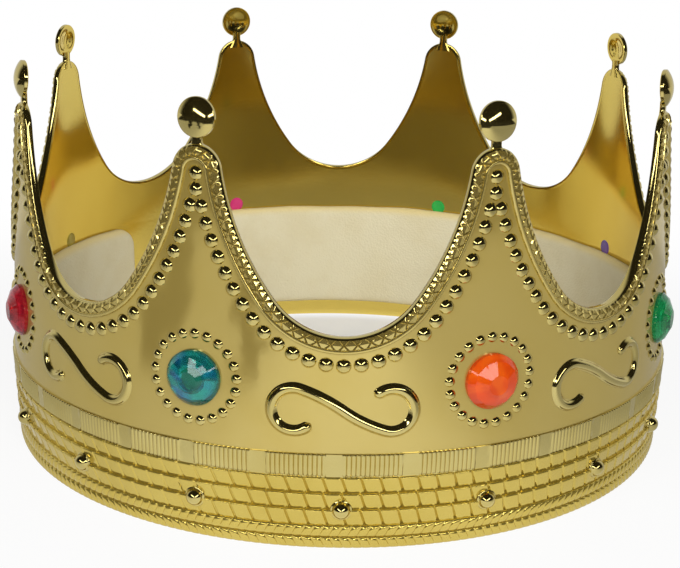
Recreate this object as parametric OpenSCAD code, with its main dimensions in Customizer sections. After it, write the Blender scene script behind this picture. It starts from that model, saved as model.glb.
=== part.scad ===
// Costume crown: one gold moulding with ball-tipped points, faceted gems glued round it
// and a strip of foam inside as a sweatband. It stands on its rim, and -Y is the front.

/* [Wall] */
// Outer radius of the bottom rim
rim_r = 95; // [85:1:110]
// How far the wall stands out past the rim where the band ends
band_flare = 1.4; // [0.8:0.1:3]
// How far the wall leans in between the band and the balls
tip_lean = 2.9; // [1:0.1:5]
// Thickness of the wall at the rim and at the points
wall_t = 1.6; // [1.2:0.1:2.4]

/* [Band] */
// Height of each of the two twisted rows at the bottom
twist_h = 3.15; // [2.4:0.05:4]
// Height of each of the three chequered rows
row_h = 4.45; // [3.5:0.05:5]
// Height of the ribbed strip at the top of the band
rib_h = 6.2; // [4:0.1:7]
// How far each row stands out at its top
ledge = 0.8; // [0.4:0.05:1.2]
// Diameter of the round studs on the band
stud_d = 4.6; // [3:0.1:6]

/* [Points] */
// Height of the lowest place between two points
valley_z = 55.4; // [53:0.1:60]
// Radius of the edge at the bottom of a valley
valley_r = 21.8; // [18:0.1:25]
// Radius of the hollow flank of a point
flank_r = 72; // [60:1:100]
// Radius of the round top of a point
arch_r = 6.6; // [5.5:0.1:7.5]
// Height of the centre of the round top
arch_z = 94; // [90:0.5:104]
// Width of the raised border along the edge
border_w = 3.9; // [2.5:0.1:4.2]
// How far the border stands out
border_t = 1.2; // [0.6:0.1:2]

/* [Balls] */
// Diameter of the domed ball on each point
ball_d = 9.5; // [7:0.1:12]
// How far its dome stands out from the rim behind it
dome_h = 1.6; // [1:0.1:3.4]
// Width of the neck below the ball
neck_w = 2.5; // [1.8:0.1:4]
// Free height of the neck
neck_h = 1.6; // [0.8:0.1:4]
// Thickness of the rim behind the dome
disc_t = 1.2; // [1:0.1:2.4]

/* [Gems] */
// Diameter of a gem
gem_d = 13.6; // [10:0.1:15]
// Height of a gem above its seat
gem_h = 4.6; // [3:0.1:6]
// Height of the centre of the gems
gem_z = 42.6; // [40:0.1:45]
// Diameter of the peg behind a gem
peg_d = 4.8; // [3:0.1:6]

/* [Scrolls] */
// Height of the middle of the scrolls
scroll_z = 37.1; // [36:0.1:39]
// Distance from the middle of a scroll to the centre of its hook
scroll_reach = 12; // [11:0.1:12.5]
// Radius of a hook
hook_r = 5.5; // [4.5:0.1:6]
// Diameter of the round bar of a scroll
scroll_d = 2.6; // [1.8:0.1:3]

/* [Sweatband] */
// Height of the lower edge of the foam
foam_z = 5.5; // [2:0.5:7]
// Width of the foam strip
foam_h = 35.5; // [25:0.1:38]
// Thickness of the foam
foam_t = 2.6; // [1.5:0.1:4]
// Angle left open between the two ends of the strip
foam_gap_angle = 8; // [4:1:30]

/* [Hidden] */
gem_nodes = ["gem_front_right", "gem_right", "gem_right_rear", "gem_rear_right",
             "gem_rear_left", "gem_left_rear", "gem_left", "gem_front_left"];
gem_colours = ["orangered", "seagreen", "slateblue", "limegreen",
               "hotpink", "goldenrod", "crimson", "teal"];

$fn = 72;
// Steps in each arc of the edge, and in the round of a twisted row
arc_steps = 6;
twist_steps = 6;
// A cut runs past what it cuts by this much, and what is joined sinks in by this much
overrun = 1;
sink = 0.4;
// How far the ribbed strip stands out at its top
rib_lip = 0.4;
glue_gap = 0.1;
peg_gap = 0.1;
seat_depth = 0.15;
disc_rim = 0.15;
dish_depth = 0.7;
// The dish behind a ball and the flat table of a gem, as shares of their diameters
dish_share = 0.7;
table_share = 0.44;
girdle_share = 0.32;
mid_facet_share = 0.83;
mid_height_share = 0.66;
// A scroll is a little fuller than its bar at its ends and where its arcs meet
tip_share = 1.04;
gem_sides = 12;
chequered_rows = 3;
studs_per_point = 2;
// How far the balls lean back
ball_lean = 5;
// Slope of a scroll at its middle, where its hooks end, and where the foam strip is open
scroll_slope = 36;
hook_end_angle = 140;
foam_open_angle = -135;

points = len(gem_nodes);
pitch_angle = 360 / points;
band_h = 2 * twist_h + chequered_rows * row_h + rib_h;
wall_r = rim_r + band_flare;
inner_r = rim_r - wall_t;
stud_z = 2 * twist_h + row_h;
arch_top = arch_z + arch_r;
ball_z = arch_top + neck_h + ball_d / 2;
cut_top = arch_top + overrun;
cut_in = (inner_r - tip_lean - wall_t) * cos(pitch_angle / 2) - overrun;
cut_out = wall_r + border_t + overrun;

// Outer radius of the plain wall at a height, and of the band under its rows
function wall_at(z) = wall_r - tip_lean * (z - band_h) / (ball_z - band_h);
function band_at(z) = rim_r + band_flare * z / band_h;

// The edge of a point is drawn on the wall rolled flat: s runs along it from the middle of a valley
sheet_r = wall_at(valley_z);
half_pitch = PI * sheet_r / points;
function degrees(s) = s / sheet_r * 180 / PI;
function down(angle) = [sin(angle), -cos(angle)];

// Where a circle about p meets one about q, on the left of the line from p to q
function meet(p, p_r, q, q_r) =
    let (gap = q - p, d = norm(gap), along = (p_r ^ 2 - q_r ^ 2 + d ^ 2) / (2 * d))
    p + along * gap / d + sqrt(p_r ^ 2 - along ^ 2) * [-gap.y, gap.x] / d;

// Three arcs that run on smoothly: the valley, the hollow flank and the round top
valley_c = [0, valley_z + valley_r];
arch_c = [half_pitch, arch_z];
flank_c = meet(valley_c, flank_r - valley_r, arch_c, flank_r + arch_r);
flank_from = atan2(valley_c.x - flank_c.x, flank_c.y - valley_c.y);
flank_to = atan2(arch_c.x - flank_c.x, flank_c.y - arch_c.y);

// Half of the edge, moved inwards by inset
function steps(from, to) = [for (i = [0 : arc_steps]) from + (to - from) * i / arc_steps];
function tail(list) = [for (i = [1 : len(list) - 1]) list[i]];
function half_edge(inset) = concat(
    [for (a = steps(0, flank_from)) valley_c + (valley_r + inset) * down(a)],
    [for (a = tail(steps(flank_from, flank_to))) flank_c + (flank_r + inset) * down(a)],
    [for (a = tail(steps(flank_to, 0))) arch_c - (arch_r - inset) * down(a)]);

// The same half seen straight on from outside the point, and the whole edge over the point
function seen(p, side) = [side * sheet_r * sin(degrees(half_pitch - p.x)), p.y];
function edge(inset) =
    let (half = half_edge(inset), n = len(half))
    concat([for (p = half) seen(p, 1)], [for (i = [n - 2 : -1 : 0]) seen(half[i], -1)]);
panel_w = (wall_r + border_t) * sin(pitch_angle / 2) + overrun;

// What is set in front is repeated round the crown, at the middle of each point or of each valley
module each_point() for (i = [0 : points - 1]) rotate([0, 0, (i + 0.5) * pitch_angle]) children();
module each_valley() for (i = [0 : points - 1]) rotate([0, 0, i * pitch_angle]) children();

// An outline seen from outside, pushed through the wall towards the middle of the crown
module through_wall(outline)
    translate([0, -cut_in, 0]) rotate([90, 0, 0]) linear_extrude(cut_out - cut_in) polygon(outline);

// Section of the wall: plain inside, with the twisted rows and the ledges of the band outside
function twist_row(z) = [for (i = [0 : twist_steps])
    let (a = 180 * i / twist_steps, at = z + twist_h * (1 - cos(a)) / 2)
    [band_at(at) + ledge * sin(a), at]];
function chequered_row(z) = [[band_at(z), z], [band_at(z) + ledge, z + row_h]];
foam_top = foam_z + foam_h;
wall_section = concat(
    twist_row(0),
    tail(twist_row(twist_h)),
    [for (i = [0 : chequered_rows - 1]) each chequered_row(2 * twist_h + i * row_h)],
    [[wall_r, band_h - rib_h], [wall_r + rib_lip, band_h], [wall_r, band_h]],
    [[wall_at(cut_top), cut_top], [wall_at(cut_top) - wall_t, cut_top]],
    [[inner_r, foam_top], [inner_r, 0]]);

// The border stands on the wall as a ring that follows its lean, open inside the edge of each point
border_foot = valley_z - border_w - overrun;
border_section = [
    [wall_at(border_foot) - sink, border_foot], [wall_at(border_foot) + border_t, border_foot],
    [wall_at(cut_top) + border_t, cut_top], [wall_at(cut_top) - sink, cut_top]];
module border_field() {
    side = valley_z - border_w;
    foot = border_foot - overrun;
    through_wall(concat(
        [[panel_w, side]], edge(border_w), [[-panel_w, side], [-panel_w, foot], [panel_w, foot]]));
}
module valley_cut() through_wall(concat(
    [[panel_w, valley_z]], edge(0),
    [[-panel_w, valley_z], [-panel_w, cut_top + overrun], [panel_w, cut_top + overrun]]));
module scalloped_wall() difference() {
    union() {
        rotate_extrude() polygon(wall_section);
        difference() {
            rotate_extrude() polygon(border_section);
            each_point() border_field();
        }
    }
    each_point() valley_cut();
}

// Round studs on the band, below each gem and each valley
module studs() for (i = [0 : points * studs_per_point - 1])
    rotate([0, 0, i * pitch_angle / studs_per_point])
        translate([0, -band_at(stud_z) - ledge / 2, stud_z]) sphere(d = stud_d);

// Half a scroll lies in a plane against the wall, and the other half is the same turned round
scroll_wall_r = wall_at(scroll_z) - sink;
scroll_mid = (scroll_reach + hook_r) / 2;
scroll_turn = atan2(scroll_mid, scroll_wall_r);
hook_c = [scroll_reach, 0];
link_r = (scroll_reach ^ 2 - hook_r ^ 2) / (2 * (scroll_reach * sin(scroll_slope) - hook_r));
link_c = link_r * [sin(scroll_slope), cos(scroll_slope)];
link_from = 270 - scroll_slope;
hook_from = 360 + atan2(hook_c.y - link_c.y, hook_c.x - link_c.x);
module bar_arc(centre, r, from, to)
    translate(centre) rotate(from) rotate_extrude(angle = to - from) translate([r, 0]) circle(d = scroll_d);
module half_scroll()
    rotate([0, 0, scroll_turn]) translate([-scroll_mid, -scroll_wall_r, 0]) rotate([90, 0, 0]) {
        bar_arc(link_c, link_r, link_from, hook_from);
        bar_arc(hook_c, hook_r, hook_from, 360 + hook_end_angle);
        for (a = [hook_from, hook_end_angle])
            translate(hook_c + hook_r * [cos(a), sin(a)]) sphere(d = tip_share * scroll_d);
    }
module scrolls() each_valley() translate([0, 0, scroll_z]) {
    for (turn = [0, 180]) rotate([0, turn, 0]) half_scroll();
    translate([0, -norm([scroll_mid, scroll_wall_r]), 0]) sphere(d = tip_share * scroll_d);
}

// A low dome on a thin rim that leans back and is dished behind, on a flat neck
dome_r = ((ball_d / 2) ^ 2 + dome_h ^ 2) / (2 * dome_h);
dish_w = dish_share * ball_d;
dish_r = ((dish_w / 2) ^ 2 + dish_depth ^ 2) / (2 * dish_depth);
module ball_tip() {
    face = wall_at(ball_z);
    translate([0, -face, ball_z]) rotate([90 - ball_lean, 0, 0]) difference() {
        union() {
            intersection() {
                translate([0, 0, dome_h - dome_r]) sphere(r = dome_r);
                translate([0, 0, -sink]) cylinder(d = ball_d, h = dome_h + overrun);
            }
            translate([0, 0, -disc_t]) cylinder(d = ball_d + 2 * disc_rim, h = disc_t);
        }
        translate([0, 0, dish_depth - disc_t - dish_r]) sphere(r = dish_r);
    }
    translate([-neck_w / 2, -face, arch_top - border_w / 2])
        cube([neck_w, wall_t, neck_h + border_w / 2 + disc_t]);
}

// Each gem has a flat seat sunk into the wall and a hole for its peg
gem_seat_r = wall_at(gem_z + gem_d / 2) * cos(degrees(gem_d / 2)) - seat_depth;
module gem_seat() translate([0, 0, gem_z]) rotate([90, 0, 0]) {
    translate([0, 0, gem_seat_r]) cylinder(d = gem_d + 2 * glue_gap, h = cut_out - gem_seat_r);
    translate([0, 0, cut_in]) cylinder(d = peg_d + 2 * peg_gap, h = cut_out - cut_in);
}

module crown_shell() color("gold") difference() {
    union() {
        scalloped_wall();
        studs();
        scrolls();
        each_point() ball_tip();
    }
    each_point() gem_seat();
}

module foam_sweatband() color("ivory")
    rotate([0, 0, foam_open_angle + foam_gap_angle / 2 - 90])
        rotate_extrude(angle = 360 - foam_gap_angle)
            translate([inner_r - glue_gap - foam_t, foam_z]) square([foam_t, foam_h]);

// A moulded stone: a low round foot, two rings of facets, a flat table and a peg through the wall
module gem(i) {
    foot_h = girdle_share * gem_h;
    color(gem_colours[i]) rotate([0, 0, (i + 0.5) * pitch_angle]) translate([0, 0, gem_z]) rotate([90, 0, 0]) {
        translate([0, 0, inner_r + peg_gap]) cylinder(d = peg_d, h = gem_seat_r - inner_r);
        translate([0, 0, gem_seat_r]) cylinder(d = gem_d, h = foot_h);
        translate([0, 0, gem_seat_r]) hull() {
            linear_extrude(foot_h) circle(d = gem_d, $fn = 2 * gem_sides);
            linear_extrude(mid_height_share * gem_h) circle(d = mid_facet_share * gem_d, $fn = gem_sides);
            rotate(180 / gem_sides)
                linear_extrude(gem_h) circle(d = table_share * gem_d, $fn = gem_sides);
        }
    }
}

crown_shell();
foam_sweatband();
for (i = [0 : points - 1]) gem(i);
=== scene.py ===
# %% [markdown]
# # A gold costume crown
# The crown is one plastic moulding with a bright gold coating, eight faceted stones and a strip of foam
# inside. This lesson dresses its solids: each cell names a piece of the real crown, says how it could be
# made, and makes it. The frame comes first, because every piece has to sit where the solids are.

# %% Load the frame
import math

import bmesh
import bpy
import numpy as np
from mathutils import Matrix


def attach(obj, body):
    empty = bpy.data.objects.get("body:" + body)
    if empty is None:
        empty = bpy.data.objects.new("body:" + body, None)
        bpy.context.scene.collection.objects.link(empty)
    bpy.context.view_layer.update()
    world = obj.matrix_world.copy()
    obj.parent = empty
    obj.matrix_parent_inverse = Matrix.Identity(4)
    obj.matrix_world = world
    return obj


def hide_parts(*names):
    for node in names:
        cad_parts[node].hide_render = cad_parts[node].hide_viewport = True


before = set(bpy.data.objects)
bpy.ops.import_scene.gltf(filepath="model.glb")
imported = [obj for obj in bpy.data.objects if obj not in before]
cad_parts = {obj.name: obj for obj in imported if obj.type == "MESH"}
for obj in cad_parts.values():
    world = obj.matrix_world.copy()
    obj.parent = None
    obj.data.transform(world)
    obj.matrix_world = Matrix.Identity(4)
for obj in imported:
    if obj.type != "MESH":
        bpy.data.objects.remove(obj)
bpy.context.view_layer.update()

print("solids:", ", ".join(sorted(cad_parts)))

# %% [markdown]
# ## Sizes
# The solids were drawn in millimetres and Blender works in metres, so the sizes are repeated here in
# millimetres and turned into metres in one place. They could also be measured from the imported meshes, but
# then every curve would have to be found again from its facets. Repeating a few radii keeps the curves
# exact.

# %% Sizes of the moulding, in millimetres
MM = 0.001
POINTS = 8
PITCH = 360 / POINTS
RIM_R, BAND_FLARE, TIP_LEAN, WALL_T = 95.0, 1.4, 2.9, 1.6
TWIST_H, ROW_H, RIB_H, LEDGE, RIB_LIP = 3.15, 4.45, 6.2, 0.8, 0.4
VALLEY_Z, VALLEY_R, FLANK_R, ARCH_R, ARCH_Z = 55.4, 21.8, 72.0, 6.6, 94.0
BALL_D, NECK_W, NECK_H, DISC_T, DOME_H = 9.5, 2.5, 1.6, 1.2, 1.6
GEM_D, GEM_H, GEM_Z, PEG_D = 13.6, 4.6, 42.6, 4.8
FOAM_Z, FOAM_H, FOAM_T, FOAM_GAP, FOAM_OPEN_AT = 5.5, 35.5, 2.6, 8.0, -135.0
CHEQUERED_ROWS = 3

WALL_R = RIM_R + BAND_FLARE
INNER_R = RIM_R - WALL_T
BAND_H = 2 * TWIST_H + CHEQUERED_ROWS * ROW_H + RIB_H
FOAM_TOP = FOAM_Z + FOAM_H
ARCH_TOP = ARCH_Z + ARCH_R
BALL_Z = ARCH_TOP + NECK_H + BALL_D / 2
print(f"band {BAND_H:.2f} mm high, balls at {BALL_Z:.2f} mm")

# %% [markdown]
# ## Places on the wall
# Nothing on the crown is flat, so a place is told by an angle from the front, a radius and a height. The
# wall flares a little over the band and leans in above it. Three small functions say how far out it is at
# any height.

# %% Radius of the wall, and points in space
def wall_at(z):
    """Radius of the outside above the band."""
    return WALL_R - TIP_LEAN * (z - BAND_H) / (BALL_Z - BAND_H)


def band_at(z):
    """Radius of the ground below the band's patterns."""
    return RIM_R + BAND_FLARE * z / BAND_H


def inner_at(z):
    """Radius of the inside: upright behind the foam, then leaning in with the wall."""
    top_r = wall_at(ARCH_TOP) - WALL_T
    rise = np.clip((z - FOAM_TOP) / (ARCH_TOP - FOAM_TOP), 0, None)
    return INNER_R + (top_r - INNER_R) * rise


def place(angle, r, z):
    """Points in metres from angles in degrees and from radii and heights in millimetres."""
    a = np.radians(angle)
    return MM * np.stack(np.broadcast_arrays(r * np.sin(a), -r * np.cos(a), z), axis=-1)


SHEET_R = wall_at(VALLEY_Z)
HALF_PITCH = math.pi * SHEET_R / POINTS


def degrees_of(s):
    """The angle that a distance along the wall, at the height of the valleys, takes up."""
    return np.degrees(s / SHEET_R)


print(f"a point is {2 * HALF_PITCH:.1f} mm wide between its valleys")

# %% [markdown]
# ## From rows of points to a mesh
# Most pieces are regular sheets of points: so many columns round the crown, so many rows over a section. A
# sheet that closes on itself both ways is a watertight ring. Round things, such as beads, are turned on a
# lathe instead. Both could be made by modifiers, but with plain arrays each point is known and can be moved
# by a formula.

# %% Mesh helpers
def ring_faces(columns, rows):
    """Quads of a sheet that closes on itself both ways."""
    c, r = np.meshgrid(np.arange(columns), np.arange(rows), indexing="ij")
    d, q = (c + 1) % columns, (r + 1) % rows
    return np.stack([c * rows + r, d * rows + r, d * rows + q, c * rows + q], -1).reshape(-1, 4).tolist()


def tube_faces(columns, rows):
    """Quads of a tube with open ends, and two many-sided caps."""
    quads = ring_faces(columns, rows)[: (columns - 1) * rows]
    return quads + [list(range(rows)), list(range((columns - 1) * rows, columns * rows))]


def turned(profile, segments):
    """A solid turned on a lathe from (radius, height) pairs that start and end on the axis, along local z."""
    a = 2 * np.pi * np.arange(segments) / segments
    rings = [np.stack([r * np.cos(a), r * np.sin(a), np.full(segments, h)], -1) for r, h in profile[1:-1]]
    verts = np.concatenate([[[0, 0, profile[0][1]]], *rings, [[0, 0, profile[-1][1]]]])
    faces, last = [], len(verts) - 1
    for k in range(segments):
        n = (k + 1) % segments
        faces.append([0, 1 + n, 1 + k])
        for i in range(len(rings) - 1):
            low, high = 1 + i * segments, 1 + (i + 1) * segments
            faces.append([low + k, low + n, high + n, high + k])
        top = 1 + (len(rings) - 1) * segments
        faces.append([top + k, top + n, last])
    return verts, faces


def set_on_wall(verts, angle, r, z):
    """Local x along the wall, y up and z outwards, in millimetres, set down at a place on the crown."""
    a = math.radians(angle)
    across, out = np.array([math.cos(a), math.sin(a), 0]), np.array([math.sin(a), -math.cos(a), 0])
    base = r * out + np.array([0, 0, z])
    return MM * (base + verts[:, :1] * across + verts[:, 1:2] * [0, 0, 1] + verts[:, 2:] * out)


def make_piece(name, shells, sharp_angle=None):
    """One object from a list of closed shells, each a pair of vertices and faces."""
    verts, faces, start = [], [], 0
    for v, f in shells:
        v = np.asarray(v).reshape(-1, 3)
        verts.append(v)
        faces += [[start + i for i in face] for face in f]
        start += len(v)
    mesh = bpy.data.meshes.new(name)
    mesh.from_pydata(np.concatenate(verts).tolist(), [], faces)
    work = bmesh.new()
    work.from_mesh(mesh)
    bmesh.ops.recalc_face_normals(work, faces=work.faces)
    work.to_mesh(mesh)
    work.free()
    mesh.shade_smooth()
    if sharp_angle:
        mesh.set_sharp_from_angle(angle=math.radians(sharp_angle))
    obj = bpy.data.objects.new(name, mesh)
    bpy.context.scene.collection.objects.link(obj)
    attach(obj, "root")
    print(f"{name}: {len(shells)} shell(s), {len(mesh.polygons)} faces")
    return obj


print("mesh helpers ready")

# %% [markdown]
# ## The edge of the points
# Seen straight on, half of a point's edge is three arcs that run into each other: the valley, the hollow
# flank and the round top. The flank's centre follows from the other two, because touching circles have
# known distances. A curve drawn by hand would do, but arcs can be moved inwards exactly, and the border and
# the beads need that.

# %% Three arcs of the edge
def down(a):
    """A step of length 1 that points down at 0 and turns to the right, then up."""
    return np.stack([np.sin(a), -np.cos(a)], axis=-1)


def meet(p, p_r, q, q_r):
    """Where a circle about p meets one about q, on the left of the line from p to q."""
    gap = q - p
    d = np.hypot(*gap)
    along = (p_r**2 - q_r**2 + d**2) / (2 * d)
    return p + along * gap / d + math.sqrt(p_r**2 - along**2) * np.array([-gap[1], gap[0]]) / d


valley_c = np.array([0, VALLEY_Z + VALLEY_R])
arch_c = np.array([HALF_PITCH, ARCH_Z])
flank_c = meet(valley_c, FLANK_R - VALLEY_R, arch_c, FLANK_R + ARCH_R)
flank_from = math.atan2(valley_c[0] - flank_c[0], flank_c[1] - valley_c[1])
flank_to = math.atan2(arch_c[0] - flank_c[0], flank_c[1] - arch_c[1])
arc_lengths = np.array([VALLEY_R * flank_from, FLANK_R * (flank_to - flank_from), ARCH_R * flank_to])
EDGE_LENGTH = arc_lengths.sum()


def edge_point(t, inset):
    """Distance along the wall and height of the edge, moved inwards, at a share t from valley to top."""
    d = np.asarray(t) * EDGE_LENGTH
    first, second = arc_lengths[0], arc_lengths[0] + arc_lengths[1]
    valley = valley_c + (VALLEY_R + inset) * down(d / VALLEY_R)
    flank = flank_c + (FLANK_R + inset) * down(flank_from + (d - first) / FLANK_R)
    arch = arch_c - (ARCH_R - inset) * down(flank_to - (d - second) / ARCH_R)
    p = np.where((d < first)[..., None], valley, np.where((d < second)[..., None], flank, arch))
    return p[..., 0], p[..., 1]


def edge_ring(n, inset):
    """Angles and heights of the whole edge round the crown, n columns in each half point."""
    k = np.arange(n) / n
    t = np.tile(np.concatenate([k, 1 - k]), POINTS)
    side = np.tile(np.repeat([1, -1], n), POINTS)
    valley = PITCH * np.repeat((np.arange(2 * POINTS) + 1) // 2, n)
    s, z = edge_point(t, inset)
    return valley + side * degrees_of(s), z


print(f"half an edge is {EDGE_LENGTH:.1f} mm long")

# %% [markdown]
# ## The plain wall
# The wall is a thin shell, so its mesh has an outside, a top, an inside and a bottom, all from one sheet of
# points. It stops just under the edge and just behind the patterned rows, because those are pieces of their
# own with far finer columns, and a mesh that fine all over would be wasteful.

# %% Crown wall
WALL_COLUMNS, WALL_ROWS = 40, 18
TUCK, BEHIND, FOOT_LIFT, FOOT_CUT = 1.0, 0.5, 0.2, 0.3

angle, top = edge_ring(WALL_COLUMNS, TUCK)
rise = np.linspace(0, 1, WALL_ROWS)
outer_z = (BAND_H - BEHIND) + np.outer(top - BAND_H + BEHIND, rise)
inner_z = FOAM_TOP + np.outer(top - FOAM_TOP, rise[::-1])
flat = np.ones((len(angle), 1))
rows_r = [flat * (RIM_R - BEHIND), flat * (WALL_R - BEHIND), wall_at(outer_z), inner_at(inner_z),
          flat * INNER_R, flat * (INNER_R + FOOT_CUT)]
rows_z = [flat * FOOT_LIFT, flat * (BAND_H - 2 * BEHIND), outer_z, inner_z, flat * FOOT_CUT, flat * 0.0]
wall_r, wall_z = np.hstack(rows_r), np.hstack(rows_z)
wall = place(angle[:, None], wall_r, wall_z)
crown_wall = make_piece("crown_wall", [(wall, ring_faces(*wall_r.shape))], sharp_angle=40)
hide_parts("crown_shell")

# %% [markdown]
# ## The braided border
# A raised border follows the edge: a broad smooth ridge on the inside, then a row of thin crosses, then the
# rounded lip of the wall itself. Its section is a row of points, each told by how far it lies in from the
# edge and how far it stands out from the wall. The crosses could be a bump in the material, but they catch
# the light at the lip, so they are geometry.

# %% Section of the border
RIDGE = [(4.05, -0.3), (3.98, 0.13), (3.86, 0.5), (3.68, 0.74),
         (3.4, 0.87), (3.1, 0.9), (2.92, 0.81), (2.8, 0.55)]
BRAID_ROWS, BRAID_TOP, BRAID_FOOT, BRAID_RISE = 6, 2.7, 0.55, 0.62
TOP_DROP, FOOT_DROP, FOOT_CURVE = 0.16, 1.3, 1.5
LIP = [(0.35, 0.08), (0.14, -0.12), (0.0, -0.5)]
LIP_INSIDE = [(0.0, 0.3), (0.12, 0.06), (0.4, -0.03), (1.3, -0.03), (1.4, 0.3)]


def braid_ground(q):
    """Inset and height of the ground below the crosses, with q from 0.5 at the ridge to -0.5 at the lip."""
    inset = BRAID_FOOT + (BRAID_TOP - BRAID_FOOT) * (q + 0.5)
    return inset, BRAID_RISE - TOP_DROP * max(q, 0) - FOOT_DROP * max(-q, 0) ** FOOT_CURVE


BRAID = [braid_ground(q) for q in np.linspace(0.5, -0.5, BRAID_ROWS + 1)]
print(f"the border's section has {len(RIDGE + BRAID + LIP + LIP_INSIDE)} points")

# %% [markdown]
# A line of a cross moves on by one column in each row, so it always runs through vertices, and each quad is
# split along the line that is nearest to it. The faces of the lip come last and get the second material,
# because the lip is polished and the ridge and the crosses are satin.

# %% Braided border
BRAID_PITCH, BRAID_STEPS = 3.0, 10
LINE_RISE, LINE_FOOT = 0.3, 0.04

braid_n = round(EDGE_LENGTH / BRAID_PITCH) * BRAID_STEPS
lattice = (BRAID_ROWS / 2 - np.arange(BRAID_ROWS + 1)) / BRAID_STEPS
along = np.tile(np.concatenate([np.arange(braid_n), braid_n - np.arange(braid_n)]), POINTS) / BRAID_STEPS


def off_line(a):
    """Distance from the nearest whole number."""
    return np.abs((a + 0.5) % 1 - 0.5)


def line_height(q):
    """Height of the crosses over their ground in one row, for every column."""
    steps = np.minimum(off_line(along - q), off_line(along + q)) * BRAID_STEPS
    return LINE_RISE * np.interp(steps, [0, 1, 2], [1, LINE_FOOT, 0])


def split_quads(quads, row, q):
    """Two triangles for each quad of a row, split along the nearer line of a cross."""
    after = np.roll(along, -1)
    middle = (along + after) / 2
    first_line = off_line(middle - q) <= off_line(middle + q)
    corner = quads[:, row]
    rising = (first_line == (after < along))[:, None]
    one = np.where(rising, corner[:, [0, 1, 2]], corner[:, [0, 1, 3]])
    two = np.where(rising, corner[:, [0, 2, 3]], corner[:, [1, 2, 3]])
    return np.concatenate([one, two]).tolist()


angles, radii, heights = [], [], []
for inset, out in RIDGE + BRAID + LIP + LIP_INSIDE:
    a, z = edge_ring(braid_n, inset)
    base = inner_at(z) if (inset, out) in LIP_INSIDE else wall_at(z)
    lines = line_height(lattice[BRAID.index((inset, out))]) if (inset, out) in BRAID else 0
    angles.append(a)
    radii.append(base + out + lines)
    heights.append(z)
border = place(np.stack(angles, 1), np.stack(radii, 1), np.stack(heights, 1))
quads = np.array(ring_faces(*border.shape[:2])).reshape(*border.shape[:2], 4)
split = range(len(RIDGE), len(RIDGE) + BRAID_ROWS)
border_faces = quads[:, : len(RIDGE)].reshape(-1, 4).tolist()
for i, row in enumerate(split):
    border_faces += split_quads(quads, row, (lattice[i] + lattice[i + 1]) / 2)
satin_faces = len(border_faces)
border_faces += quads[:, split.stop:].reshape(-1, 4).tolist()
braided_border = make_piece("braided_border", [(border, border_faces)], sharp_angle=38)
polished = np.arange(len(border_faces)) >= satin_faces
braided_border.data.polygons.foreach_set("material_index", polished.astype(np.int32))

# %% [markdown]
# ## Rows of beads
# Round beads follow the edge a little way in, one in the middle of each valley and one row up each flank.
# Near the top the two rows meet as a pair, with two single beads above. A circle of smaller beads goes
# round each stone. Seen from the side a bead hardly stands out, so it is the low cap of a larger ball: it
# mirrors the room above it up to its very edge, where a half ball would mirror the wall. One cap off the
# lathe is set down many times.

# %% Beads along the edge
BEAD_D, BEAD_INSET, BEAD_STEPS, TWIN_SHARE, SINGLE_STEP = 3.8, 7.0, 13, 0.4, 4.0
BEAD_TURN, BEAD_SUNK = math.radians(54), 0.35


def bead_shell(d, rings, segments):
    """The cap of a ball, d wide at its foot, on a short stem that is sunk in the wall."""
    cap_r = d / 2 / math.sin(BEAD_TURN)
    cap = [(cap_r * math.sin(a), cap_r * (math.cos(a) - math.cos(BEAD_TURN)))
           for a in np.linspace(BEAD_TURN, 0, rings)]
    return turned([(0, -BEAD_SUNK), (d / 2, -BEAD_SUNK), *cap[:-1], (0, cap[-1][1])], segments)


valley_row, flank_row = VALLEY_R + BEAD_INSET, FLANK_R + BEAD_INSET
twin_angle = math.asin((HALF_PITCH - TWIN_SHARE * BEAD_D - flank_c[0]) / flank_row)
valley_run = valley_row * flank_from
bead_step = (valley_run + flank_row * (twin_angle - flank_from)) / BEAD_STEPS


def bead_place(d):
    """A place on the row of beads, at a distance d along it from the middle of a valley."""
    if d < valley_run:
        return valley_c + valley_row * down(d / valley_row)
    return flank_c + flank_row * down(flank_from + (d - valley_run) / flank_row)


half_row = [bead_place(i * bead_step) for i in range(1, BEAD_STEPS + 1)]
twin_z = half_row[-1][1]
bead = bead_shell(BEAD_D, rings=9, segments=20)
bead_shells = []
for p in range(POINTS):
    spots = [(p * PITCH, VALLEY_Z - BEAD_INSET)]
    spots += [(p * PITCH + degrees_of(s), z) for s, z in half_row]
    spots += [((p + 1) * PITCH - degrees_of(s), z) for s, z in half_row]
    spots += [((p + 0.5) * PITCH, twin_z + i * SINGLE_STEP) for i in (1, 2)]
    bead_shells += [(set_on_wall(bead[0], a, wall_at(z), z), bead[1]) for a, z in spots]
edge_beads = make_piece("edge_beads", bead_shells, sharp_angle=30)

# %% Beads round the stones
RING_R, RING_BEAD_D, RING_BEADS = 11.2, 2.75, 21

small_bead = bead_shell(RING_BEAD_D, rings=8, segments=16)
ring_shells = []
for p in range(POINTS):
    for k in range(RING_BEADS):
        turn = 2 * math.pi * k / RING_BEADS
        z = GEM_Z + RING_R * math.cos(turn)
        a = (p + 0.5) * PITCH + degrees_of(RING_R * math.sin(turn))
        ring_shells.append((set_on_wall(small_bead[0], a, wall_at(z), z), small_bead[1]))
ring_beads = make_piece("ring_beads", ring_shells, sharp_angle=30)

# %% [markdown]
# ## Scrolls
# Below each valley lies a scroll in the shape of a lying S: a round bar that grows out of the wall with a
# soft hollow at its foot. A curve with a bevel would give the bar but not the hollow foot, so a section
# with both is carried along the line, and shrinks to nothing at the two ends.

# %% Line of a scroll
SCROLL_REACH, HOOK_R = 12.0, 5.5
SCROLL_SLOPE, HOOK_END = math.radians(36), math.radians(140)
LINK_STEPS, HOOK_STEPS = 12, 34

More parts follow.
